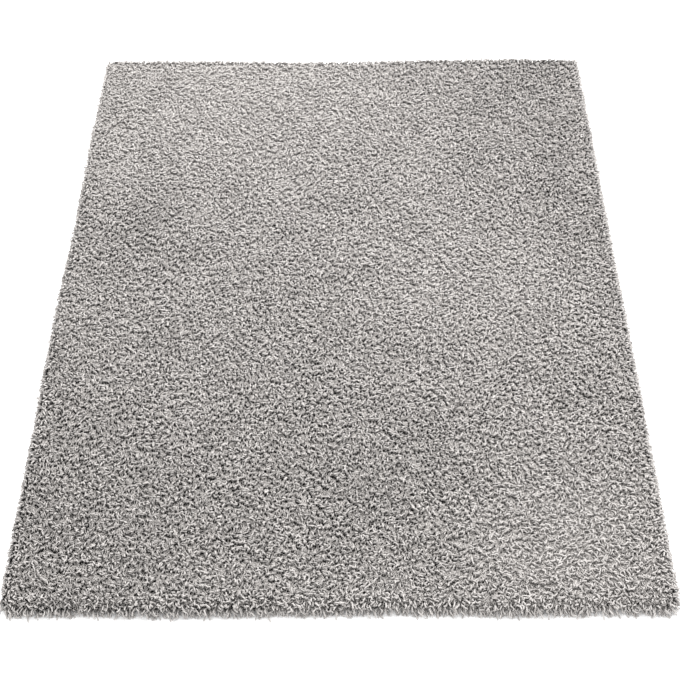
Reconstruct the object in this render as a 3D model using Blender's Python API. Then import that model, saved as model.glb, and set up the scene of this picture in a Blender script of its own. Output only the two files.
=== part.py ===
"""A light grey shag rug, 1.2 m wide and 1.7 m long, lying flat on the floor.

The rug is one piece: pile yarn tufted into a ground cloth. It is modelled as one solid, a slab with
a flat underside and a lumpy crown. Around the rim the outermost tufts lean out past the ground
cloth and droop towards the floor. They are four-sided locks that grow out of the slab's side, joined
at their roots and standing apart from there to their tips.
"""

import math
import random
from collections import namedtuple

import bmesh
import bpy
import numpy as np
from mathutils import Vector, noise
from mathutils.geometry import delaunay_2d_cdt

# Driving dimensions, in metres. X runs across the rug and Y along it, away from its front edge.
WIDTH = 1.200  # from tip to tip of the rim locks
LENGTH = 1.700
PILE_HEIGHT = 0.033  # from the floor to the crown of the pile
CORNER_RADIUS = 0.030
LOCK_PITCH = 0.0205  # one lock to the next along a side
CORNER_LOCKS = 3  # locks that fan out round each corner
TUFT_SPACING = 0.0305  # one lump of the crown to the next

# The crown's unevenness.
TUFT_RISE = 0.0046  # how far a lump stands above or below the crown
BROW_RISE = 0.0030  # the same, where the side turns over into the crown
TUFT_SHIFT = 0.0080  # how far a lump lies off its place in the rows
ROW_STAGGER = 0.25  # the rows of lumps shift by this share of the spacing, by turns to either side
SWELL_RISE = 0.0020  # slow swells where the pile is combed up or flattened
SWELL_LENGTH = 0.22
RIM_FALL = 0.0025  # the crown falls this much where the pile leans out over the rim
RIM_FALL_WIDTH = 0.070

PILE_COLOUR = (0.435, 0.417, 0.402, 1.0)
PILE_ROUGHNESS = 0.95
SEED = 7

# The slab's side, from the floor up: how far each ring lies inside the tips, and its height.
Ring = namedtuple("Ring", "inset height")
FOOT = Ring(inset=0.0180, height=0.0)
LOW = Ring(inset=0.0145, height=0.0050)
HIGH = Ring(inset=0.0140, height=0.0265)
BROW = Ring(inset=0.0255, height=0.0315)
BROW_SHIFT = 0.0035

# A lock's two joints beyond its root: how far each lies inside the tips, its width as a share of the
# room between the neighbouring locks, and half its depth.
Joint = namedtuple("Joint", "inset width_share half_depth")
BEND = Joint(inset=0.0060, width_share=0.74, half_depth=0.0068)
TIP = Joint(inset=0.0, width_share=0.30, half_depth=0.0024)
TIP_SHORT = 0.0060  # the shortest lock ends this far inside the longest
TIP_SWING = 0.30  # how far a tip swings to either side, as a share of the same room
BEND_SWING = 0.08
TIP_LIFT = 0.0170  # the highest tip is this far above the floor
LEAST_LIFT = 0.0015  # and the lowest that doesn't rest on it
RESTING_SHARE = 0.45  # the share of the locks whose tips rest on the floor
BEND_HEIGHT_SHARE = 0.62  # where the bend's height lies between the tip's and the root's

# How far the rim runs out from a straight line. "along" is the place in X or Y, as the side runs.
Wander = namedtuple("Wander", "along out")
FRONT_WANDER = (
    Wander(along=-0.450, out=0.0000),
    Wander(along=-0.260, out=0.0025),
    Wander(along=-0.050, out=0.0000),
    Wander(along=0.157, out=-0.0028),
    Wander(along=0.297, out=0.0023),
    Wander(along=0.506, out=-0.0013),
    Wander(along=0.560, out=0.0000),
)
RIGHT_WANDER = (
    Wander(along=-0.600, out=0.0000),
    Wander(along=-0.300, out=0.0010),
    Wander(along=0.200, out=-0.0010),
    Wander(along=0.600, out=0.0000),
)
FAR_WANDER = (
    Wander(along=-0.320, out=0.0000),
    Wander(along=-0.130, out=-0.0060),
    Wander(along=0.030, out=-0.0060),
    Wander(along=0.200, out=0.0000),
    Wander(along=0.380, out=0.0030),
    Wander(along=0.520, out=0.0000),
)
LEFT_WANDER = (
    Wander(along=-0.400, out=0.0000),
    Wander(along=-0.150, out=0.0032),
    Wander(along=0.000, out=0.0025),
    Wander(along=0.220, out=-0.0034),
    Wander(along=0.420, out=0.0000),
)

# The four sides, anticlockwise from above. "facing" is the way out of a side, in degrees from +X.
Side = namedtuple("Side", "facing half_out half_run wander")
SIDES = (
    Side(facing=-90, half_out=LENGTH / 2, half_run=WIDTH / 2, wander=FRONT_WANDER),
    Side(facing=0, half_out=WIDTH / 2, half_run=LENGTH / 2, wander=RIGHT_WANDER),
    Side(facing=90, half_out=LENGTH / 2, half_run=WIDTH / 2, wander=FAR_WANDER),
    Side(facing=180, half_out=WIDTH / 2, half_run=LENGTH / 2, wander=LEFT_WANDER),
)

# How the crown's net of triangles is made: only inside the brow, and with no point merged.
INSIDE_ONLY = 1
MERGE_WITHIN = 1e-6

# A place on the rim between two locks: "heart" is the point that its way out is measured from.
Place = namedtuple("Place", "heart outward wander")


def clear_scene():
    """Removes whatever the scene holds."""
    for thing in list(bpy.data.objects):
        bpy.data.objects.remove(thing, do_unlink=True)


def facing_out(degrees):
    """The unit vector that points this way in plan."""
    angle = math.radians(degrees)
    return Vector((math.cos(angle), math.sin(angle)))


def places_on_side(side):
    """The places between the locks along one side, up to its corner."""
    outward = facing_out(side.facing)
    onward = facing_out(side.facing + 90)
    run = side.half_run - CORNER_RADIUS
    locks = round(2 * run / LOCK_PITCH)
    for i in range(locks):
        heart = outward * (side.half_out - CORNER_RADIUS) + onward * run * (2 * i / locks - 1)
        along = heart.dot(Vector((abs(onward.x), abs(onward.y))))
        wander = np.interp(along, [row.along for row in side.wander], [row.out for row in side.wander])
        yield Place(heart, outward, float(wander))


def places_round_corner(side):
    """The places between the locks that fan out round the corner at the end of a side."""
    run = side.half_run - CORNER_RADIUS
    heart = facing_out(side.facing) * (side.half_out - CORNER_RADIUS) + facing_out(side.facing + 90) * run
    for i in range(CORNER_LOCKS):
        yield Place(heart, facing_out(side.facing + 90 * i / CORNER_LOCKS), 0.0)


def rim_places():
    """Every place between two locks, once round the rug."""
    places = []
    for side in SIDES:
        places.extend(places_on_side(side))
        places.extend(places_round_corner(side))
    return places


def rim_point(place, inset, height):
    """The point this far inside the tips at a place on the rim."""
    flat = place.heart + place.outward * (CORNER_RADIUS + place.wander - inset)
    return Vector((flat.x, flat.y, height))


def crown_height(x, y):
    """The height of the pile's crown, without its tufts: slow swells, and a fall towards the rim."""
    swell = noise.noise(Vector((x / SWELL_LENGTH, y / SWELL_LENGTH, 0.0))) * SWELL_RISE
    inside = min(WIDTH / 2 - abs(x), LENGTH / 2 - abs(y))
    fall = RIM_FALL * max(0.0, 1 - inside / RIM_FALL_WIDTH)
    return PILE_HEIGHT + swell - fall


def ring_of_verts(bm, places, ring):
    """One ring of vertices round the slab's side."""
    return [bm.verts.new(rim_point(place, ring.inset, ring.height)) for place in places]


def brow_of_verts(bm, places, rng):
    """The uneven ring where the slab's side turns over into its crown."""
    verts = []
    for place in places:
        point = rim_point(place, BROW.inset + rng.uniform(-BROW_SHIFT, BROW_SHIFT), BROW.height)
        point.z += rng.uniform(-BROW_RISE, BROW_RISE)
        verts.append(bm.verts.new(point))
    return verts


def wall_between(bm, lower, upper):
    """The ring of faces between two rings of vertices, facing out."""
    faces = []
    for i in range(len(lower)):
        j = (i + 1) % len(lower)
        faces.append(bm.faces.new((lower[i], lower[j], upper[j], upper[i])))
    return faces


def tuft_points(rng):
    """The crown's lumps in plan: staggered rows, with each lump a little off its place."""
    half_x = WIDTH / 2 - BROW.inset - TUFT_SPACING / 2
    half_y = LENGTH / 2 - BROW.inset - TUFT_SPACING / 2
    columns = round(2 * half_x / TUFT_SPACING)
    rows = round(2 * half_y / TUFT_SPACING)
    points = []
    for row in range(rows + 1):
        stagger = ROW_STAGGER if row % 2 else -ROW_STAGGER
        for column in range(columns + 1):
            x = half_x * (2 * (column + stagger) / columns - 1) + rng.uniform(-TUFT_SHIFT, TUFT_SHIFT)
            y = half_y * (2 * row / rows - 1) + rng.uniform(-TUFT_SHIFT, TUFT_SHIFT)
            points.append(Vector((max(-half_x, min(half_x, x)), max(-half_y, min(half_y, y)))))
    return points


def cover_with_crown(bm, brow, rng):
    """Closes the brow with the lumpy crown, a net of triangles through the tufts."""
    rim = [vert.co.xy for vert in brow]
    points = rim + tuft_points(rng)
    brow_loop = list(range(len(rim)))
    net = delaunay_2d_cdt(points, [], [brow_loop], INSIDE_ONLY, MERGE_WITHIN)
    flat, triangles, origins = net[0], net[2], net[3]
    verts = []
    for point, origin in zip(flat, origins):
        if origin[0] < len(rim):
            verts.append(brow[origin[0]])
            continue
        height = crown_height(point.x, point.y) + rng.uniform(-TUFT_RISE, TUFT_RISE)
        verts.append(bm.verts.new((point.x, point.y, height)))
    for triangle in triangles:
        bm.faces.new([verts[i] for i in triangle])


def section_of_lock(centre, across, joint):
    """A lock's four corners at a joint, in the order of its root face."""
    side = across * joint.width_share / 2
    up = Vector((0.0, 0.0, joint.half_depth))
    return centre - side - up, centre + side - up, centre + side + up, centre - side + up


def inside_the_rug(point):
    """The point, drawn back to the rug's overall width and length."""
    x = max(-WIDTH / 2, min(WIDTH / 2, point.x))
    y = max(-LENGTH / 2, min(LENGTH / 2, point.y))
    return Vector((x, y, point.z))


def grow_lock(bm, root, before, after, rng):
    """Extrudes a face of the slab's side into a lock that bends out, droops and tapers to its tip."""
    root_height = (LOW.height + HIGH.height) / 2
    rests = rng.random() < RESTING_SHARE
    tip_height = TIP.half_depth + (0.0 if rests else rng.uniform(LEAST_LIFT, TIP_LIFT))
    bend_height = max(BEND.half_depth, tip_height + BEND_HEIGHT_SHARE * (root_height - tip_height))
    short = rng.random() * TIP_SHORT
    swing = rng.uniform(-1, 1)
    sections = (
        (BEND, short / 2, bend_height, swing * BEND_SWING),
        (TIP, short, tip_height, swing * TIP_SWING),
    )
    face = root
    for joint, inside, height, sideways in sections:
        start = rim_point(before, joint.inset + inside, height)
        end = rim_point(after, joint.inset + inside, height)
        across = end - start
        centre = (start + end) / 2 + across * sideways
        face = bmesh.ops.extrude_discrete_faces(bm, faces=[face])["faces"][0]
        for vert, point in zip(face.verts, section_of_lock(centre, across, joint)):
            vert.co = inside_the_rug(point)


def rug_mesh():
    """The rug's closed surface: flat foot, side with its locks, and lumpy crown."""
    rng = random.Random(SEED)
    places = rim_places()
    bm = bmesh.new()
    foot = ring_of_verts(bm, places, FOOT)
    low = ring_of_verts(bm, places, LOW)
    high = ring_of_verts(bm, places, HIGH)
    brow = brow_of_verts(bm, places, rng)
    bm.faces.new(foot[::-1])
    wall_between(bm, foot, low)
    roots = wall_between(bm, low, high)
    wall_between(bm, high, brow)
    cover_with_crown(bm, brow, rng)
    for i, root in enumerate(roots):
        grow_lock(bm, root, places[i], places[(i + 1) % len(places)], rng)
    bmesh.ops.recalc_face_normals(bm, faces=bm.faces)
    mesh = bpy.data.meshes.new("shag_rug")
    bm.to_mesh(mesh)
    bm.free()
    mesh.shade_smooth()
    return mesh


def pile_material():
    """Matt grey yarn."""
    material = bpy.data.materials.new("grey_pile")
    material.use_nodes = True
    shader = material.node_tree.nodes["Principled BSDF"]
    shader.inputs["Base Color"].default_value = PILE_COLOUR
    shader.inputs["Roughness"].default_value = PILE_ROUGHNESS
    shader.inputs["Metallic"].default_value = 0.0
    return material


clear_scene()
rug = bpy.data.objects.new("shag_rug", rug_mesh())
rug.data.materials.append(pile_material())
bpy.context.scene.collection.objects.link(rug)
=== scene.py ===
# A light grey shag rug, 1.2 m wide and 1.7 m long, lying flat on a pale studio floor and seen from its
# front edge.

import math

import bmesh
import bpy
from mathutils import Matrix, Vector
from mathutils.bvhtree import BVHTree
from mathutils.geometry import delaunay_2d_cdt


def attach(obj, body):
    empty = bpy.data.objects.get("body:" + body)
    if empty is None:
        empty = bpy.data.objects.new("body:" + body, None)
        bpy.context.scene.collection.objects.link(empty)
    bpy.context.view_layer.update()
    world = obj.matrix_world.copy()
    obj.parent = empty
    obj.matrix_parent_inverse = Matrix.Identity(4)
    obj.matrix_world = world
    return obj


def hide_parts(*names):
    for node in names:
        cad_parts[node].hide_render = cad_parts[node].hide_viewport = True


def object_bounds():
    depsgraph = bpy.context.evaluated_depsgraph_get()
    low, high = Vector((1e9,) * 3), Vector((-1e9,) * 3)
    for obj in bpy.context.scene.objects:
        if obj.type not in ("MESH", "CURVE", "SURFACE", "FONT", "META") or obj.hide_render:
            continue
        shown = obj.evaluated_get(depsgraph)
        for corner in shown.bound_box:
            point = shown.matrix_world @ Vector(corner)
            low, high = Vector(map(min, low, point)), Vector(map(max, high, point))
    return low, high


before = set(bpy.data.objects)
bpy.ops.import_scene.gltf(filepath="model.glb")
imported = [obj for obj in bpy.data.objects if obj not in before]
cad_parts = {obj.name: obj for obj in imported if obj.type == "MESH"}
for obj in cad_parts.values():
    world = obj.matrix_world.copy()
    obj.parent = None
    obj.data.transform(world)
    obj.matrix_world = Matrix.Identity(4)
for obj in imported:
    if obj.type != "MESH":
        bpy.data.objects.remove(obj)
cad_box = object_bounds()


# ---- Camera ------------------------------------------------------------------------------------
# A long lens, 2.2 m above the floor and 1.6 m out from the rug's front edge, looking down along it.
# Its place and turn are those that put the rug's four corners where the photo has them.

CAMERA_PLACE = Vector((0.0199, -2.4683, 2.2409))
CAMERA_PITCH = math.radians(44.046)  # down from level
CAMERA_YAW = math.radians(0.500)
CAMERA_ROLL = math.radians(-0.514)
SENSOR_WIDTH = 36.0
FOCAL_PIXELS = 1547.0  # the focal length, in pixels of the picture
PICTURE_PIXELS = 680

lens = bpy.data.cameras.new("camera")
lens.sensor_width = SENSOR_WIDTH
lens.lens = FOCAL_PIXELS / PICTURE_PIXELS * SENSOR_WIDTH
camera = bpy.data.objects.new("camera", lens)
turned = Matrix.Rotation(CAMERA_YAW, 4, "Z") @ Matrix.Rotation(math.pi / 2 - CAMERA_PITCH, 4, "X")
camera.matrix_world = Matrix.Translation(CAMERA_PLACE) @ turned @ Matrix.Rotation(CAMERA_ROLL, 4, "Z")
bpy.context.scene.collection.objects.link(camera)
bpy.context.scene.camera = camera


# ---- Floor and light ---------------------------------------------------------------------------
# A plain white studio floor under an even white sky, with one broad soft lamp above the far end.

FLOOR_SIZE = 14.0
FLOOR_DROP = 0.0004  # below the rug's underside, so that the two never lie in one plane
FLOOR_COLOUR = (0.90, 0.90, 0.90, 1.0)
FLOOR_ROUGHNESS = 0.9
FLOOR_SHINE = 0.1
SKY_COLOUR = (1.0, 1.0, 1.0, 1.0)
SKY_STRENGTH = 1.65
LAMP_SIZE = 2.0
LAMP_PLACE = Vector((0.3, 1.6, 3.7))
LAMP_POWER = 280.0

bpy.context.scene.view_settings.view_transform = "Standard"
sky = bpy.data.worlds.new("sky")
sky.use_nodes = True
sky.node_tree.nodes["Background"].inputs["Color"].default_value = SKY_COLOUR
sky.node_tree.nodes["Background"].inputs["Strength"].default_value = SKY_STRENGTH
bpy.context.scene.world = sky

lamp = bpy.data.objects.new("soft_lamp", bpy.data.lights.new("soft_lamp", "AREA"))
lamp.data.shape = "SQUARE"
lamp.data.size = LAMP_SIZE
lamp.data.energy = LAMP_POWER
lamp.location = LAMP_PLACE
lamp.rotation_euler = (-LAMP_PLACE).to_track_quat("-Z", "Y").to_euler()
bpy.context.scene.collection.objects.link(lamp)

floor_paint = bpy.data.materials.new("white_floor")
floor_paint.use_nodes = True
floor_shader = floor_paint.node_tree.nodes["Principled BSDF"]
floor_shader.inputs["Base Color"].default_value = FLOOR_COLOUR
floor_shader.inputs["Roughness"].default_value = FLOOR_ROUGHNESS
floor_shader.inputs["Specular IOR Level"].default_value = FLOOR_SHINE
half = FLOOR_SIZE / 2
floor_corners = [(-half, -half, 0), (half, -half, 0), (half, half, 0), (-half, half, 0)]
floor_mesh = bpy.data.meshes.new("studio_floor")
floor_mesh.from_pydata(floor_corners, [], [(0, 1, 2, 3)])
floor_mesh.materials.append(floor_paint)
studio_floor = bpy.data.objects.new("studio_floor", floor_mesh)
studio_floor.location.z = -FLOOR_DROP
bpy.context.scene.collection.objects.link(studio_floor)


# ---- Ground cloth ------------------------------------------------------------------------------
# The woven cloth that the pile yarn is tufted into, cut a little smaller than the rug, because the
# outermost tufts lean over its edge and hide it. Only its underside shows, with its coarse weave.

CLOTH_THICK = 0.0022
CLOTH_ROUGHNESS = 0.9
FIBRE_SHINE = 0.15
EDGE_REACH = 0.0180  # about how far the cut edge lies inside the sides of the solid's box
NEAR_TIPS = 0.011  # points this near the sides of that box belong to its rim locks
FOOT_LEVEL = 1e-5  # points below this belong to its flat foot
CORNER_REACH = 0.030  # how far from a corner the edge is drawn out to make it square
CORNER_PULL = 1.6  # how fast that grows towards the corner
SQUARED = {"near": 0.35, "far": 0.9}  # how square the corners of each end are
LEAST_STEP = 0.003  # from one point of the edge to the next
LEAST_MITRE = 0.7  # keeps a sharp corner from being moved out too far
WEAVE_PITCH = 0.0021
WEAVE_RELIEF = 0.0006
WEAVE_BUMP = 0.7
FUZZ_SCALE = 900.0
FUZZ_DETAIL = 3.0
FUZZ_SHARE = 0.6
WEFT_COLOUR = (0.46, 0.42, 0.36, 1.0)
WARP_COLOUR = (0.36, 0.33, 0.29, 1.0)


class Field:
    """A number or a vector inside a node tree, so that a formula can be written as one."""

    def __init__(self, tree, socket):
        self.tree = tree
        self.socket = socket

    def turned_by(self, operation, *others):
        """This value after a Math or Vector Math node."""
        values = [self.socket] + [other.socket if isinstance(other, Field) else other for other in others]
        is_vector = any(getattr(value, "type", None) in ("VECTOR", "RGBA") for value in values)
        node = self.tree.nodes.new("ShaderNodeVectorMath" if is_vector else "ShaderNodeMath")
        node.operation = operation
        slots = [socket for socket in node.inputs if socket.enabled]
        for slot, value in zip(slots, values):
            if isinstance(value, bpy.types.NodeSocket):
                self.tree.links.new(value, slot)
            else:
                slot.default_value = value
        return Field(self.tree, next(socket for socket in node.outputs if socket.enabled))

    def __add__(self, other):
        return self.turned_by("ADD", other)

    def __sub__(self, other):
        return self.turned_by("SUBTRACT", other)

    def __mul__(self, other):
        number = other.socket if isinstance(other, Field) else other
        if self.socket.type == "VECTOR" and getattr(number, "type", None) != "VECTOR":
            scaled = self.tree.nodes.new("ShaderNodeVectorMath")
            scaled.operation = "SCALE"
            self.tree.links.new(self.socket, scaled.inputs[0])
            if isinstance(number, bpy.types.NodeSocket):
                self.tree.links.new(number, scaled.inputs["Scale"])
            else:
                scaled.inputs["Scale"].default_value = number
            return Field(self.tree, scaled.outputs[0])
        return self.turned_by("MULTIPLY", other)


def node_in(tree, kind, inputs=None, **settings):
    """A new node with its settings made and its inputs linked or filled."""
    node = tree.nodes.new(kind)
    for name, value in settings.items():
        setattr(node, name, value)
    for name, value in (inputs or {}).items():
        socket = value.socket if isinstance(value, Field) else value
        if isinstance(socket, bpy.types.NodeSocket):
            tree.links.new(socket, node.inputs[name])
        else:
            node.inputs[name].default_value = socket
    return node


def parts_of(tree, vector):
    """The X, Y and Z of a vector inside a node tree."""
    split = node_in(tree, "ShaderNodeSeparateXYZ", {"Vector": vector})
    return [Field(tree, socket) for socket in split.outputs]


def matt_fibre_material(name, roughness):
    """A new matt material for yarn or cloth: its node tree, its shader and itself."""
    material = bpy.data.materials.new(name)
    material.use_nodes = True
    shader = material.node_tree.nodes["Principled BSDF"]
    shader.inputs["Roughness"].default_value = roughness
    shader.inputs["Specular IOR Level"].default_value = FIBRE_SHINE
    return material.node_tree, shader, material


def plain_object(name, mesh, material):
    """A mesh object at the origin that wears one material."""
    mesh.materials.clear()
    mesh.materials.append(material)
    thing = bpy.data.objects.new(name, mesh)
    bpy.context.scene.collection.objects.link(thing)
    return thing


tree, shader, cloth_weave = matt_fibre_material("ground_cloth_weave", CLOTH_ROUGHNESS)
spot = node_in(tree, "ShaderNodeTexCoord").outputs["Object"]
across, along, _ = parts_of(tree, spot)
warp = (across * (math.tau / WEAVE_PITCH)).turned_by("SINE")
weft = (along * (math.tau / WEAVE_PITCH)).turned_by("SINE")
over = warp * weft
fuzz = node_in(tree, "ShaderNodeTexNoise", {"Vector": spot, "Scale": FUZZ_SCALE, "Detail": FUZZ_DETAIL})
height = over + Field(tree, fuzz.outputs["Fac"]) * FUZZ_SHARE
blend = node_in(tree, "ShaderNodeMix", {"Factor": over * 0.5 + 0.5}, data_type="RGBA")
blend.inputs["A"].default_value = WARP_COLOUR
blend.inputs["B"].default_value = WEFT_COLOUR
tree.links.new(blend.outputs["Result"], shader.inputs["Base Color"])
bump = node_in(tree, "ShaderNodeBump", {"Height": height, "Strength": WEAVE_BUMP, "Distance": WEAVE_RELIEF})
tree.links.new(bump.outputs["Normal"], shader.inputs["Normal"])

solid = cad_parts["shag_rug"].data
half_width = cad_box[1][0]
half_length = cad_box[1][1]


def cut_edge():
    """The cloth's cut edge in plan, anticlockwise: the outline of the solid's flat foot."""
    points = {}
    for vert in solid.vertices:
        x, y, z = vert.co
        inside = abs(x) < half_width - NEAR_TIPS and abs(y) < half_length - NEAR_TIPS
        if z < FOOT_LEVEL and inside:
            points[round(x, 5), round(y, 5)] = Vector((x, y))
    for point in points.values():
        square = Vector((
            math.copysign(half_width - EDGE_REACH, point.x),
            math.copysign(half_length - EDGE_REACH, point.y),
        ))
        nearness = 1.0 - (square - point).length / CORNER_REACH
        pull = min(1.0, max(0.0, CORNER_PULL * nearness))
        point += (square - point) * pull * SQUARED["near" if point.y < 0 else "far"]
    around = sorted(points.values(), key=lambda point: math.atan2(point.y, point.x))
    one_back = [around[-1]] + around
    return [point for point, last in zip(around, one_back) if (point - last).length > LEAST_STEP]


edge = cut_edge()


def ring_outside_edge(out, height):
    """The cloth's edge, moved out by this much and up to this height."""
    ring = []
    for i, point in enumerate(edge):
        before = (point - edge[i - 1]).normalized()
        after = (edge[(i + 1) % len(edge)] - point).normalized()
        onward = (before + after).normalized()
        mitre = 1.0 / max(LEAST_MITRE, onward.dot(after))
        ring.append(Vector((*(point + Vector((onward.y, -onward.x)) * out * mitre), height)))
    return ring


def wall_between(bm, lower, upper):
    """The faces between two rings of vertices, facing out."""
    for i in range(len(lower)):
        j = (i + 1) % len(lower)
        bm.faces.new((lower[i], lower[j], upper[j], upper[i]))


bm = bmesh.new()
underside = [bm.verts.new(point) for point in ring_outside_edge(0.0, 0.0)]
topside = [bm.verts.new(point) for point in ring_outside_edge(0.0, CLOTH_THICK)]
bm.faces.new(underside[::-1])
bm.faces.new(topside)
wall_between(bm, underside, topside)
cloth_mesh = bpy.data.meshes.new("ground_cloth")
bm.to_mesh(cloth_mesh)
bm.free()
ground_cloth = plain_object("ground_cloth", cloth_mesh, cloth_weave)
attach(ground_cloth, "root")


# ---- Pile bed ----------------------------------------------------------------------------------
# The lower part of the imported pile, where the strands stand so close that little light gets down between
# them.
# Its yarn is painted near black in the hollows of its tangle, as painted shade for those deep gaps.
# It follows the lumps of the solid's crown, one strand's free height below them.

BED_DEPTH = 0.0095  # from the crown down to the bed
BED_SPACING = 0.016
BED_INSET = 0.014  # from the cloth's cut edge in to the bed's first points
ROW_STAGGER = 0.25  # of the spacing: odd rows are moved right by it and even rows left
INSIDE_ONLY = 1  # the net of triangles is kept inside the bed's outline
SAME_POINT = 1e-6  # points closer together than this are one
BED_SIDE = (  # how far out of the cloth's edge, and how high
    (0.0000, CLOTH_THICK + 0.0002),
    (0.0070, 0.0030),
    (0.0100, 0.0070),
    (0.0100, 0.0130),
    (0.0065, 0.0200),
    (-0.0015, 0.0240),
)
NOISE_MIDDLE = (0.5, 0.5, 0.5)
CLUMP_SIZE = 0.0085  # of the strands that lie one way together
CLUMP_WANDER = 0.006  # how far the clumps' outlines wander
WANDER_SCALE = 110.0
CLUMP_FALL = 0.6  # how much lower a clump is away from its middle
BED_STRAND = 0.0030  # from one strand of a clump to the next
STRAND_SHARE = 0.6
FLUFF_SCALE = 330.0
FLUFF_DETAIL = 2.0
FLUFF_SHARE = 0.8
TANGLE_BASE = 0.2  # taken off the sum of the two
PAINTED_SHADE_TANGLE = 0.25  # the tangle's height below which it has the painted shade colour
HIGH_TANGLE = 0.37  # and the height that has the bed's own
# painted shade: near black, for the deep shade between the strands
PAINTED_SHADE_COLOUR = (0.006, 0.0057, 0.0054, 1.0)
BED_COLOUR = (0.402, 0.380, 0.363, 1.0)
BED_RELIEF = 0.003
BED_ROUGHNESS = 0.95

solid_points = [vert.co for vert in solid.vertices]
crown = BVHTree.FromPolygons(solid_points, [face.vertices for face in solid.polygons])


def bed_height(x, y):
    """The height of the bed under the solid's crown."""
    return crown.ray_cast(Vector((x, y, 1.0)), Vector((0.0, 0.0, -1.0)))[0].z - BED_DEPTH


bm = bmesh.new()
rings = []
for out, height in BED_SIDE:
    rings.append([bm.verts.new(point) for point in ring_outside_edge(out, height)])
for lower, upper in zip(rings, rings[1:]):
    wall_between(bm, lower, upper)
bm.faces.new(rings[0][::-1])
brow = rings[-1]
inner_x = half_width - EDGE_REACH - BED_INSET
inner_y = half_length - EDGE_REACH - BED_INSET
columns = round(2 * inner_x / BED_SPACING)
rows = round(2 * inner_y / BED_SPACING)
points = [vert.co.xy for vert in brow]
for row in range(rows + 1):
    for column in range(columns + 1):
        stagger = ROW_STAGGER if row % 2 else -ROW_STAGGER
        x = max(-inner_x, min(inner_x, inner_x * (2 * (column + stagger) / columns - 1)))
        points.append(Vector((x, inner_y * (2 * row / rows - 1))))
outline = list(range(len(brow)))
net = delaunay_2d_cdt(points, [], [outline], INSIDE_ONLY, SAME_POINT)
net_points, _, net_triangles, net_origins, _, _ = net
crown_verts = []
for point, origin in zip(net_points, net_origins):
    if origin[0] < len(brow):
        crown_verts.append(brow[origin[0]])
    else:
        crown_verts.append(bm.verts.new((point.x, point.y, bed_height(point.x, point.y))))
for triangle in net_triangles:
    bm.faces.new([crown_verts[i] for i in triangle])
bmesh.ops.recalc_face_normals(bm, faces=bm.faces)
bed_mesh = bpy.data.meshes.new("pile_bed")
bm.to_mesh(bed_mesh)
bm.free()
bed_mesh.shade_smooth()

tree, shader, bed_yarn_and_painted_shade = matt_fibre_material("bed_yarn_and_painted_shade", BED_ROUGHNESS)
spot = node_in(tree, "ShaderNodeTexCoord").outputs["Object"]
wander = node_in(tree, "ShaderNodeTexNoise", {"Vector": spot, "Scale": WANDER_SCALE, "Detail": 1.0})
wander = (Field(tree, wander.outputs["Color"]) - NOISE_MIDDLE) * CLUMP_WANDER
bent_spot = Field(tree, spot) + wander
clumps = node_in(tree, "ShaderNodeTexVoronoi", {"Vector": bent_spot, "Scale": 1 / CLUMP_SIZE})
clump_turn = parts_of(tree, clumps.outputs["Color"])[0] * math.tau
laid = node_in(tree, "ShaderNodeVectorRotate", {"Vector": bent_spot, "Angle": clump_turn})
across_clump, _, _ = parts_of(tree, laid.outputs["Vector"])
ridge = (across_clump * (math.tau / BED_STRAND)).turned_by("SINE") * 0.5 + 0.5
fluff = node_in(tree, "ShaderNodeTexNoise", {"Vector": spot, "Scale": FLUFF_SCALE, "Detail": FLUFF_DETAIL})
fluff = Field(tree, fluff.outputs["Fac"])
rounded = Field(tree, clumps.outputs["Distance"]) * -CLUMP_FALL + 1.0
tangle = ridge * rounded * STRAND_SHARE + fluff * FLUFF_SHARE - TANGLE_BASE
# Painted shade: the tangle's hollows get the near-black colour, the rest gets the bed's own yarn colour.
limits = {"Value": tangle, "From Min": PAINTED_SHADE_TANGLE, "From Max": HIGH_TANGLE}
painted_shade_blend = node_in(tree, "ShaderNodeMapRange", limits)
blend = node_in(tree, "ShaderNodeMix", {"Factor": painted_shade_blend.outputs["Result"]}, data_type="RGBA")
blend.inputs["A"].default_value = PAINTED_SHADE_COLOUR
blend.inputs["B"].default_value = BED_COLOUR
tree.links.new(blend.outputs["Result"], shader.inputs["Base Color"])
bump = node_in(tree, "ShaderNodeBump", {"Height": tangle, "Strength": 1.0, "Distance": BED_RELIEF})
tree.links.new(bump.outputs["Normal"], shader.inputs["Normal"])
pile_bed = plain_object("pile_bed", bed_mesh, bed_yarn_and_painted_shade)
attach(pile_bed, "root")
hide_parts("shag_rug")


# ---- Shag yarn ---------------------------------------------------------------------------------
# The pile's heather-grey yarn: two plies twisted together, matt, a little lighter or darker from one
# strand to the next, and painted near black towards the root as painted shade, for the little light that
# gets down there.

SHADES = 64  # how many shades of yarn the pile mixes
DARK_YARN = (0.330, 0.315, 0.304, 1.0)
MID_YARN = (0.524, 0.499, 0.481, 1.0)
LIGHT_YARN = (0.537, 0.512, 0.494, 1.0)
MID_SHADE = 0.4  # how far the middle yarn stands from the dark one towards the light one
# painted shade at the root, as a share of the yarn's colour
ROOT_SHADE = 0.005
ROOT_ENDS = 0.26  # up to here on its map a strand is painted as dark as its root, as painted shade
LIGHT_STARTS = 0.63  # and from here on it has its full colour
TWISTS = 5.0
PLIES = 2.0
GROOVE_SHADE = 0.30
GROOVE_RELIEF = 0.0005
GROOVE_BUMP = 0.5
YARN_ROUGHNESS = 0.85

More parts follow.
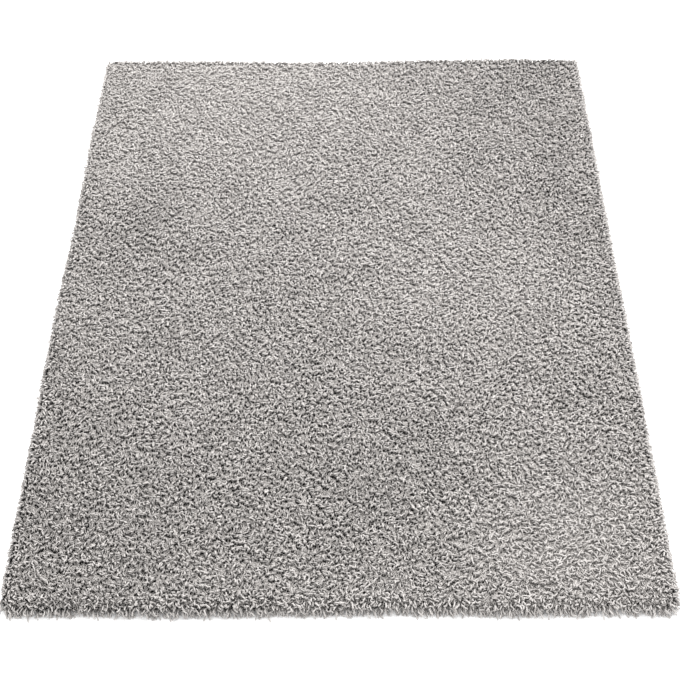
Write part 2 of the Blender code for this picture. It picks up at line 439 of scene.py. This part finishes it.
tree, shader, shag_yarn = matt_fibre_material("shag_yarn", YARN_ROUGHNESS)
yarn_map = node_in(tree, "ShaderNodeUVMap", uv_map="OFBake")
round_strand, up_strand, _ = parts_of(tree, yarn_map.outputs["UV"])
shade = (round_strand * SHADES).turned_by("FLOOR") * (1 / SHADES)
turn = (round_strand * SHADES).turned_by("FRACT")
ramp = node_in(tree, "ShaderNodeValToRGB", {"Fac": shade})
ramp.color_ramp.elements[0].color = DARK_YARN
ramp.color_ramp.elements[1].color = LIGHT_YARN
middle = ramp.color_ramp.elements.new(MID_SHADE)
middle.color = MID_YARN
groove = ((turn * PLIES + up_strand * TWISTS) * math.tau).turned_by("SINE")
limits = {
    "Value": up_strand,
    "From Min": ROOT_ENDS,
    "From Max": LIGHT_STARTS,
    "To Min": ROOT_SHADE,
    "To Max": 1.0,
}
# Painted shade: dark at the root, full colour from LIGHT_STARTS up.
root = node_in(tree, "ShaderNodeMapRange", limits)
light = Field(tree, root.outputs["Result"]) * (groove * (GROOVE_SHADE / 2) + (1 - GROOVE_SHADE / 2))
colour = node_in(tree, "ShaderNodeVectorMath", {0: ramp.outputs["Color"], "Scale": light}, operation="SCALE")
tree.links.new(colour.outputs["Vector"], shader.inputs["Base Color"])
relief = {"Height": groove, "Strength": GROOVE_BUMP, "Distance": GROOVE_RELIEF}
bump = node_in(tree, "ShaderNodeBump", relief)
tree.links.new(bump.outputs["Normal"], shader.inputs["Normal"])


# ---- Pile --------------------------------------------------------------------------------------
# Cut strands of the yarn, one out of each tuft, each rising out of the bed, kinked by its twist and
# bent over at the top to lie among its neighbours. They grow in five strips across the rug.

ROOTS_A_METRE = 27000.0  # a square metre
ROOT_SPACING = 0.0027  # the least from one root to the next
STEEPEST_BED = -0.75  # no root stands where the bed faces further down than this
YARN_RADIUS = 0.00162
ROOT_GIRTH = 1.08  # of that radius
TIP_TAPER = 0.22  # how much of it is gone at the tip
POINTS_A_STRAND = 4
YARN_SIDES = 3
RISE_SPREAD = (0.70, 1.16)  # from one strand to the next, as shares of what each input says
REACH_SPREAD = (0.55, 1.25)
HANG_SPREAD = (0.5, 1.1)
GIRTH_SPREAD = (0.88, 1.1)
LEVEL_DROOP = 0.7  # how much less a tip droops where the bed is level
STEEP_GAIN = 1.5  # the higher, the steeper a side has to be before it counts as sheer
BEND_POWER = 1.7  # the higher, the nearer to its tip a strand bends over
CURL_TURNS = 0.85  # of the curl, over a whole strand
KINK_GROWS = 0.5  # up to here along the strand its kinks grow
LAY_SIZE = 0.09  # of the areas whose strands lean one way
CLOUD_SIZE = 0.12  # of the areas that look lighter or darker
CLOUD_DETAIL = 2.0
CLOUD_SHADE = 0.6
CLOUD_RISE = -0.3  # where the pile looks lighter, its strands stand lower,
CLOUD_REACH = 0.2  # lie over further
CLOUD_BARE = 0.45  # and show less of their painted root shade
FAR_BARE = 0.13  # how much less of that painted shade shows a metre further along the rug, as painted light for the brighter far end
EVEN_BARE = 0.12  # and how much less halfway along it
FRONT_EDGE = -0.8  # only the strands nearer than this may stray
STRAY_POWER = 5.0  # the higher, the fewer of them stray far
COMBED = 0.60  # how much the pile leans to the right halfway along the rug
COMBED_SLOPE = 0.4  # and how much more a metre further along
BRUSHED = (  # where the pile was brushed another way: x, y, spread and how much lighter it is painted, as painted light and shade for how light falls on pile lying another way
    (-0.25, 0.66, 0.30, 0.22),
    (0.48, 0.76, 0.25, -0.30),
    (0.44, -0.76, 0.28, 0.58),
    (0.08, -0.60, 0.18, -0.26),
    (-0.02, -0.88, 0.20, 0.22),
    (-0.52, -0.66, 0.25, -0.18),
    (-0.46, 0.18, 0.13, -0.20),
    (0.31, 0.05, 0.24, 0.20),
    (0.52, 0.30, 0.20, -0.18),
)
MAP_MARGIN = 0.05  # from the side of a shade's column on the yarn's map to the strand
MAP_ROUND = 0.9  # of that column: how wide the strand lies in it
MAP_FOOT = 0.01  # from the bottom of the map to the strand's root
MAP_LENGTH = 0.93  # of the map: how long the strand lies on it
MAP_BOW = 0.04  # how far it bows up on the way round the strand
LAST_SHADE = 0.999  # just short of a column past the last one


def strand_tree():
    """A node tree that grows strands of yarn out of a bed."""
    tree = bpy.data.node_groups.new("strands_of_yarn", "GeometryNodeTree")
    face = tree.interface
    face.new_socket("Geometry", in_out="INPUT", socket_type="NodeSocketGeometry")
    for name in (
        "Roots", "Root Spacing", "Zone Start", "Zone End", "Inner Width", "Inner Length", "Rim Side",
        "Yarn Radius", "Rise", "Reach", "Droop", "Hang", "Curl", "Kink", "Outward", "Lay", "Lighter",
        "Bare", "Stray",
    ):
        face.new_socket(name, in_out="INPUT", socket_type="NodeSocketFloat")
    face.new_socket("Seed", in_out="INPUT", socket_type="NodeSocketInt")
    face.new_socket("Yarn", in_out="INPUT", socket_type="NodeSocketMaterial")
    face.new_socket("Geometry", in_out="OUTPUT", socket_type="NodeSocketGeometry")
    given = node_in(tree, "NodeGroupInput")

    def value(name):
        """One of the tree's inputs."""
        return Field(tree, given.outputs[name])

    def chance(low, high, seed):
        """A number between these two, drawn for each strand. Each use has a seed of its own."""
        spread = node_in(tree, "FunctionNodeRandomValue", {"Seed": value("Seed") + seed})
        spread.inputs[2].default_value = low
        spread.inputs[3].default_value = high
        return Field(tree, spread.outputs[1])

    def chance_vector(low, high, seed):
        """The same, for a vector."""
        seeded = {"Seed": value("Seed") + seed}
        spread = node_in(tree, "FunctionNodeRandomValue", seeded, data_type="FLOAT_VECTOR")
        spread.inputs[0].default_value = low
        spread.inputs[1].default_value = high
        return Field(tree, spread.outputs[0])

    def noise_at(place, size, detail=1.0):
        """A noise texture with areas of about this size."""
        return node_in(tree, "ShaderNodeTexNoise", {"Vector": place, "Scale": 1 / size, "Detail": detail})

    # Roots, spread evenly over the bed: those in one strip, and inside the rim or on it.
    scatter = node_in(
        tree, "GeometryNodeDistributePointsOnFaces",
        {
            "Mesh": value("Geometry"),
            "Distance Min": value("Root Spacing"),
            "Density Max": value("Roots"),
            "Seed": value("Seed"),
        },
        distribute_method="POISSON",
    )
    normal = Field(tree, scatter.outputs["Normal"])
    here = Field(tree, node_in(tree, "GeometryNodeInputPosition").outputs[0])
    here_x, here_y, here_z = parts_of(tree, here)
    _, _, tilt = parts_of(tree, normal)
    past_side = here_x.turned_by("ABSOLUTE") - value("Inner Width") * 0.5
    past_end = here_y.turned_by("ABSOLUTE") - value("Inner Length") * 0.5
    on_rim = past_side.turned_by("MAXIMUM", past_end) * value("Rim Side")
    outside = (
        here_y.turned_by("LESS_THAN", value("Zone Start"))
        + (here_y.turned_by("LESS_THAN", value("Zone End")) * -1.0 + 1.0)
        + tilt.turned_by("LESS_THAN", STEEPEST_BED)
        + on_rim.turned_by("LESS_THAN", 0.0)
    )
    kept = node_in(
        tree, "GeometryNodeDeleteGeometry",
        {"Geometry": scatter.outputs["Points"], "Selection": outside.turned_by("GREATER_THAN", 0.5)},
        domain="POINT",
    )

    # What each strand keeps from its root: where it starts, which way it leans, how long it is.
    flat = (1.0, 1.0, 0.0)
    lay = Field(tree, noise_at(here, LAY_SIZE).outputs["Color"]) - NOISE_MIDDLE
    heading = chance_vector((-1, -1, 0), (1, 1, 0), 1) + lay * value("Lay") + normal * value("Outward")
    combed = node_in(tree, "ShaderNodeCombineXYZ", {"X": here_y * COMBED_SLOPE + COMBED})
    heading = heading + Field(tree, combed.outputs[0])
    heading = (heading.turned_by("MULTIPLY", flat)).turned_by("NORMALIZE")
    # The cloud lightens or darkens the yarn: random tone, plus the brushed areas' painted light and shade.
    cloud = (Field(tree, noise_at(here, CLOUD_SIZE, CLOUD_DETAIL).outputs["Fac"]) - 0.5) * CLOUD_SHADE
    for middle_x, middle_y, spread, lighter in BRUSHED:
        both = {0: here, 1: (middle_x, middle_y, 0.0)}
        off = node_in(tree, "ShaderNodeVectorMath", both, operation="DISTANCE")
        near = (Field(tree, off.outputs["Value"]) * (1 / spread)).turned_by("POWER", 2.0) * -1.0
        cloud = cloud + near.turned_by("EXPONENT") * lighter
    droop = value("Droop") * chance(0.0, 1.0, 9) * (tilt * -LEVEL_DROOP + 1.0)
    sheer = (tilt * -STEEP_GAIN + 1.0).turned_by("MAXIMUM", 0.0)
    droop = droop + here_z * value("Hang") * chance(*HANG_SPREAD, 10) * sheer
    stray = chance(0.0, 1.0, 11).turned_by("POWER", STRAY_POWER) * value("Stray")
    stray = stray * here_y.turned_by("LESS_THAN", FRONT_EDGE)
    # Painted light: less of the painted root shade shows on upright sides, in lighter areas and towards the
    # far end.
    bare = value("Bare") * sheer + cloud * CLOUD_BARE + here_y * FAR_BARE + EVEN_BARE
    kept_values = {
        "root": here,
        "normal": normal,
        "heading": heading,
        "rise": value("Rise") * chance(*RISE_SPREAD, 2) * (cloud * CLOUD_RISE + 1.0),
        "reach": value("Reach") * chance(*REACH_SPREAD, 3) * (cloud * CLOUD_REACH + 1.0) + stray,
        "phase": chance(0.0, 1.0, 4),
        "droop": droop,
        # its yarn's shade: random, plus the cloud, and painted lighter on upright sides as painted light
        "shade": (chance(0.0, 1.0, 5) + chance(0.0, 1.0, 6)) * 0.5 + cloud + value("Lighter") * sheer,
        "bare": bare.turned_by("MAXIMUM", 0.0),
        "girth": chance(*GIRTH_SPREAD, 7),
    }
    keep = tree.nodes.new("GeometryNodeCaptureAttribute")
    tree.links.new(kept.outputs["Geometry"], keep.inputs["Geometry"])
    for name, kept_value in kept_values.items():
        keep.capture_items.new("VECTOR" if kept_value.socket.type == "VECTOR" else "FLOAT", name)
        tree.links.new(kept_value.socket, keep.inputs[name])
    kept_field = {name: Field(tree, keep.outputs[name]) for name in kept_values}

    # One strand on each root, then bent into its own shape and held up off the floor by its own girth.
    up = (0.0, 0.0, 1.0)
    line = node_in(tree, "GeometryNodeCurvePrimitiveLine", {"End": up})
    strand = node_in(
        tree, "GeometryNodeResampleCurve",
        {"Curve": line.outputs["Curve"], "Count": POINTS_A_STRAND},
    )
    planted = node_in(
        tree, "GeometryNodeInstanceOnPoints",
        {"Points": keep.outputs["Geometry"], "Instance": strand.outputs["Curve"]},
    )
    real = node_in(tree, "GeometryNodeRealizeInstances", {"Geometry": planted.outputs["Instances"]})
    t = Field(tree, node_in(tree, "GeometryNodeSplineParameter").outputs["Factor"])
    left = t * -1.0 + 1.0
    stand = left * left * -1.0 + 1.0
    lie = t.turned_by("POWER", BEND_POWER)
    side = kept_field["heading"].turned_by("CROSS_PRODUCT", up)
    curl = ((t * CURL_TURNS + kept_field["phase"]) * math.tau).turned_by("SINE") * t * value("Curl")
    kink = chance_vector((-1, -1, -1), (1, 1, 1), 8)
    point_number = node_in(tree, "GeometryNodeInputIndex")
    tree.links.new(point_number.outputs[0], kink.socket.node.inputs["ID"])
    place = (
        kept_field["root"]
        + kept_field["normal"] * (kept_field["rise"] * stand)
        + kept_field["heading"] * (kept_field["reach"] * lie)
        + side * curl
        + kink * (t.turned_by("MINIMUM", KINK_GROWS) * value("Kink") * (1 / KINK_GROWS))
    )
    x, y, z = parts_of(tree, place)
    thick = value("Yarn Radius") * kept_field["girth"] * ROOT_GIRTH
    z = (z - kept_field["droop"] * t * t).turned_by("MAXIMUM", thick)
    place = node_in(tree, "ShaderNodeCombineXYZ", {"X": x, "Y": y, "Z": z})
    bent = node_in(
        tree, "GeometryNodeSetPosition",
        {"Geometry": real.outputs[0], "Position": place.outputs[0]},
    )

    # The yarn's body: three sides and two ends on each strand.
    along = node_in(
        tree, "GeometryNodeStoreNamedAttribute",
        {"Geometry": bent.outputs[0], "Name": "along", "Value": t},
        data_type="FLOAT", domain="POINT",
    )
    section = node_in(tree, "GeometryNodeCurvePrimitiveCircle", {"Resolution": YARN_SIDES, "Radius": 1.0})
    corner = Field(tree, node_in(tree, "GeometryNodeInputIndex").outputs[0])
    ring = node_in(
        tree, "GeometryNodeStoreNamedAttribute",
        {"Geometry": section.outputs["Curve"], "Name": "around", "Value": corner * (1 / YARN_SIDES)},
        data_type="FLOAT", domain="POINT",
    )
    girth = value("Yarn Radius") * kept_field["girth"] * (t * -TIP_TAPER + ROOT_GIRTH)
    body = node_in(
        tree, "GeometryNodeCurveToMesh",
        {"Curve": along.outputs[0], "Profile Curve": ring.outputs[0], "Scale": girth, "Fill Caps": True},
    )

    # The yarn's map: across it each strand's shade and the way round it, up it the way along it.
    stored_along = node_in(tree, "GeometryNodeInputNamedAttribute", {"Name": "along"}, data_type="FLOAT")
    stored_around = node_in(tree, "GeometryNodeInputNamedAttribute", {"Name": "around"}, data_type="FLOAT")
    up_it = Field(tree, stored_along.outputs[0])
    round_it = Field(tree, stored_around.outputs[0])
    shade = (kept_field["shade"].turned_by("MAXIMUM", 0.0)).turned_by("MINIMUM", LAST_SHADE)
    column = (shade * SHADES).turned_by("FLOOR")
    map_u = (column + round_it * MAP_ROUND + MAP_MARGIN) * (1 / SHADES)
    bow = (round_it * math.pi).turned_by("SINE")
    up_it = up_it * (kept_field["bare"] * -1.0 + 1.0) + kept_field["bare"]
    map_v = up_it * MAP_LENGTH + bow * MAP_BOW + MAP_FOOT
    place_on_map = node_in(tree, "ShaderNodeCombineXYZ", {"X": map_u, "Y": map_v})
    mapped = node_in(
        tree, "GeometryNodeStoreNamedAttribute",
        {"Geometry": body.outputs[0], "Name": "OFBake", "Value": place_on_map.outputs[0]},
        data_type="FLOAT2", domain="CORNER",
    )
    smooth = node_in(tree, "GeometryNodeSetShadeSmooth", {"Geometry": mapped.outputs[0]})
    joined = node_in(tree, "GeometryNodeRealizeInstances", {"Geometry": smooth.outputs[0]})
    worn = node_in(
        tree, "GeometryNodeSetMaterial",
        {"Geometry": joined.outputs[0], "Material": value("Yarn")},
    )
    node_in(tree, "NodeGroupOutput", {"Geometry": worn.outputs[0]})
    return tree


strands_of_yarn = strand_tree()


def grow(name, settings):
    """Strands grown out of the bed with these settings, as a plain mesh."""
    soil = bpy.data.objects.new(name + "_soil", bed_mesh)
    bpy.context.scene.collection.objects.link(soil)
    growth = soil.modifiers.new("strands", "NODES")
    growth.node_group = strands_of_yarn
    for socket in strands_of_yarn.interface.items_tree:
        if socket.in_out == "INPUT" and socket.name in settings:
            growth[socket.identifier] = settings[socket.name]
    grown = bpy.data.meshes.new_from_object(soil.evaluated_get(bpy.context.evaluated_depsgraph_get()))
    bpy.data.objects.remove(soil)
    for spare in ("along", "around"):
        if spare in grown.attributes:
            grown.attributes.remove(grown.attributes[spare])
    grown.name = name
    piece = plain_object(name, grown, shag_yarn)
    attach(piece, "root")
    return piece


RIM_WIDTH = 0.024  # of the band where the rim strands grow instead
STANDING = {
    "Roots": ROOTS_A_METRE,
    "Root Spacing": ROOT_SPACING,
    "Yarn Radius": YARN_RADIUS,
    "Rise": 0.0091,  # how far a strand stands out of the bed
    "Reach": 0.0084,  # how far it lies over
    "Droop": 0.0260,  # how far its tip droops at most, on an upright side
    "Hang": 0.0,  # how much of its root's height its tip falls, on an upright side
    "Curl": 0.0025,
    "Kink": 0.0013,
    "Outward": 1.5,  # how much it leans the way that the bed faces
    "Lay": 2.6,  # how much it leans the way that its neighbours do
    "Lighter": 0.0,  # how much lighter its yarn is painted on an upright side, as painted light where less light falls
    "Bare": 0.0,  # how much less of its painted root shade shows, on an upright side
    "Stray": 0.0,  # how much further the furthest ones reach, at the front edge
    "Inner Width": 2 * (half_width - RIM_WIDTH),
    "Inner Length": 2 * (half_length - RIM_WIDTH),
    "Rim Side": -1.0,  # -1 for the strands inside the rim and 1 for those on it
    "Seed": 11,
    "Yarn": shag_yarn,
}
ZONES = ("pile_front", "pile_near_middle", "pile_middle", "pile_far_middle", "pile_far")
for number, name in enumerate(ZONES):
    zone = dict(STANDING)
    zone["Zone Start"] = -half_length + 2 * half_length * number / len(ZONES)
    zone["Zone End"] = -half_length + 2 * half_length * (number + 1) / len(ZONES)
    grow(name, zone)


# ---- Rim strands -------------------------------------------------------------------------------
# The outermost tufts, set closer together than the rest. Nothing holds them up from outside, so they
# lean out over the edge of the cloth and hang to the floor, and at the front edge a few reach further.

LEANING = dict(STANDING)
LEANING.update({
    "Roots": 75000.0,
    "Root Spacing": 0.0029,
    "Zone Start": -half_length,
    "Zone End": half_length,
    "Rim Side": 1.0,
    "Rise": 0.0065,
    "Reach": 0.0051,
    "Droop": 0.0080,
    "Hang": 0.7,
    "Curl": 0.0026,
    "Kink": 0.0022,
    "Outward": 1.1,
    "Lay": 1.6,
    "Yarn Radius": 0.00172,
    # painted light: the rim's sides are painted lighter and show less painted root shade
    "Lighter": 0.35,
    "Bare": 0.24,
    "Stray": 0.010,
})
rim = grow("rim_strands", LEANING)
